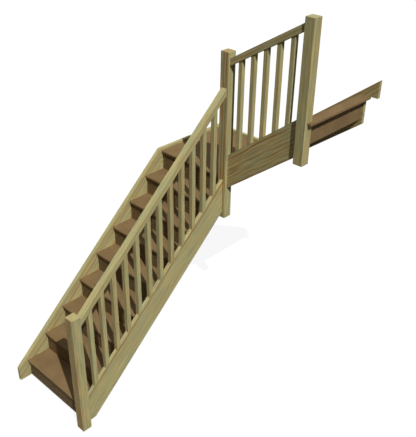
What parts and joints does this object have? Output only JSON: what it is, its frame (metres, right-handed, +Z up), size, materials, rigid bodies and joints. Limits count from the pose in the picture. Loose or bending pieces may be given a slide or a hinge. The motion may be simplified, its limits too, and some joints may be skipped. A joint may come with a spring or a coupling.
{
  "type": "wooden staircase",
  "caption": "Closed-string timber stair that climbs along a wall, turns right on a square landing and rises to the floor above, with square newels, plain spindles and raked handrails.",
  "frame": {"origin": "on the wall face of the lower wall string, at floor level, below the front edge of the first tread", "axes": "+Z up, +Y along the climb of the lower flight, +X away from its wall, along the climb of the upper flight"},
  "size_m": [1.8455, 2.7665, 3.455],
  "materials": {
    "pine": "planed, unfinished",
    "tread_board": "sanded fibreboard",
    "riser_board": "sanded fibreboard"
  },
  "bodies": {
    "root": {"lower_wall_string": "pine", "landing_side_string": "pine", "landing_back_string": "pine", "upper_wall_string": "pine", "lower_outer_string": "pine", "upper_outer_string": "pine", "bottom_newel": "pine", "landing_newel": "pine", "top_newel": "pine", "lower_handrail": "pine", "upper_handrail": "pine", "lower_spindles": "pine", "upper_spindles": "pine", "landing_board": "tread_board", "top_nosing": "tread_board", "tread_1": "tread_board", "tread_2": "tread_board", "tread_3": "tread_board", "tread_4": "tread_board", "tread_5": "tread_board", "tread_6": "tread_board", "tread_7": "tread_board", "tread_8": "tread_board", "tread_10": "tread_board", "tread_11": "tread_board", "tread_12": "tread_board", "riser_1": "riser_board", "riser_2": "riser_board", "riser_3": "riser_board", "riser_4": "riser_board", "riser_5": "riser_board", "riser_6": "riser_board", "riser_7": "riser_board", "riser_8": "riser_board", "riser_9": "riser_board", "riser_10": "riser_board", "riser_11": "riser_board", "riser_12": "riser_board", "riser_13": "riser_board"}
  },
  "joints": []
}
